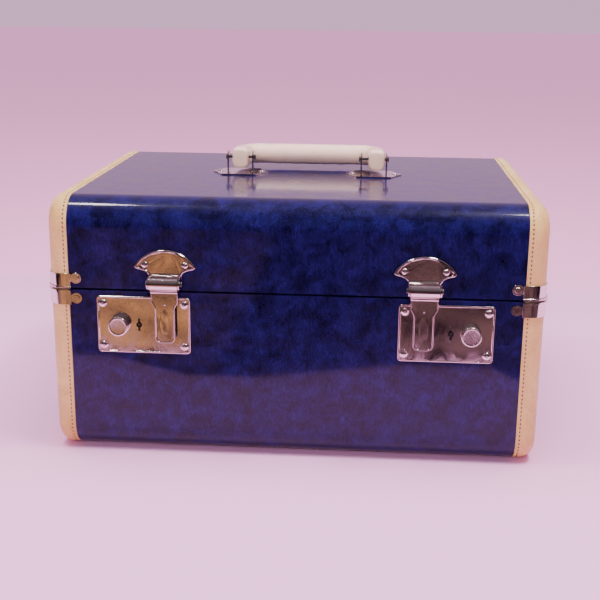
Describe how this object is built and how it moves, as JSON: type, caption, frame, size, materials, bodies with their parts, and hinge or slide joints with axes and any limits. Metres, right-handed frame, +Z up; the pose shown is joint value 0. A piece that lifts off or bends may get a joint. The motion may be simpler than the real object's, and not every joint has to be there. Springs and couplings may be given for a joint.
{
  "type": "makeup train case",
  "caption": "hard blue case with cream bound ends, hinged lid, mirror, lift-out tray, folding handle and locks whose hasps hang from the lid",
  "frame": {"origin": "middle of the underside of the base", "axes": "+X to the right seen from the locks, +Y from the locks to the hinges, +Z up"},
  "size_m": [0.354, 0.2759, 0.2085],
  "materials": {
    "covering": "board covered in glossy marbled dark blue leatherette",
    "binding": "cream bound edge, stitched, satin, lightly soiled",
    "lining": "soft blue satin over thin padding",
    "collar": "dark blue-black painted strip",
    "tray": "moulded ivory plastic, satin",
    "handle": "ivory moulded plastic, polished by use",
    "chrome": "bright plated stampings, lightly worn",
    "steel": "plain steel works",
    "mirror": "silvered glass"
  },
  "bodies": {
    "base": {"base_shell": "covering", "base_lining": "lining", "rim_collar": "collar", "base_end_left": "covering", "base_end_right": "covering", "base_binding_left": "binding", "base_binding_right": "binding", "base_cap_front_left": "chrome", "base_cap_front_right": "chrome", "base_cap_back_left": "chrome", "base_cap_back_right": "chrome", "lock_plate_left": "chrome", "lock_plate_right": "chrome", "lock_case_left": "steel", "lock_case_right": "steel", "bolt_spring_left": "steel", "bolt_spring_right": "steel", "hinge_leaf_base_left": "chrome", "hinge_leaf_base_right": "chrome", "hinge_pin_left": "steel", "hinge_pin_right": "steel"},
    "lid": {"lid_shell": "covering", "lid_lining": "lining", "mirror_frame": "binding", "mirror_glass": "mirror", "lid_end_left": "covering", "lid_end_right": "covering", "lid_binding_left": "binding", "lid_binding_right": "binding", "lid_cap_front_left": "chrome", "lid_cap_front_right": "chrome", "lid_cap_back_left": "chrome", "lid_cap_back_right": "chrome", "hasp_housing_left": "chrome", "hasp_housing_right": "chrome", "hasp_rivet_left_1": "chrome", "hasp_rivet_left_2": "chrome", "hasp_rivet_right_1": "chrome", "hasp_rivet_right_2": "chrome", "hasp_pin_left": "steel", "hasp_pin_right": "steel", "hasp_spring_left": "steel", "hasp_spring_right": "steel", "hinge_leaf_lid_left": "chrome", "hinge_leaf_lid_right": "chrome", "handle_plate_left": "chrome", "handle_plate_right": "chrome", "handle_pin_left": "steel", "handle_pin_right": "steel"},
    "handle": {"handle": "handle"},
    "hasp_left": {"hasp_tongue_left": "chrome"},
    "hasp_right": {"hasp_tongue_right": "chrome"},
    "lock_slide_left": {"thumb_knob_left": "chrome", "lock_bolt_left": "steel"},
    "lock_slide_right": {"thumb_knob_right": "chrome", "lock_bolt_right": "steel"},
    "tray": {"tray": "tray"}
  },
  "joints": [
    {"name": "lid_hinge", "type": "hinge", "parent": "base", "child": "lid", "pos_m": [0, 0.1326, 0.12315], "axis": [-1, 0, 0], "range_deg": [0, 100]},
    {"name": "handle_pivot", "type": "hinge", "parent": "lid", "child": "handle", "pos_m": [0, 0.0035, 0.2005], "axis": [1, 0, 0], "range_deg": [0, 180]},
    {"name": "tray_lift", "type": "slide", "parent": "base", "child": "tray", "axis": [0, 0, 1], "range_m": [0, 0.038]},
    {"name": "hasp_left_hinge", "type": "hinge", "parent": "lid", "child": "hasp_left", "pos_m": [-0.0909, -0.1355, 0.13], "axis": [-1, 0, 0], "range_deg": [0, 110]},
    {"name": "lock_left_slide", "type": "slide", "parent": "base", "child": "lock_slide_left", "axis": [-1, 0, 0], "range_m": [0, 0.0048], "stiffness_N_per_m": 150, "springref_m": -0.004, "deforming": ["bolt_spring_left"]},
    {"name": "hasp_right_hinge", "type": "hinge", "parent": "lid", "child": "hasp_right", "pos_m": [0.0909, -0.1355, 0.13], "axis": [-1, 0, 0], "range_deg": [0, 110]},
    {"name": "lock_right_slide", "type": "slide", "parent": "base", "child": "lock_slide_right", "axis": [1, 0, 0], "range_m": [0, 0.0048], "stiffness_N_per_m": 150, "springref_m": -0.004, "deforming": ["bolt_spring_right"]}
  ]
}
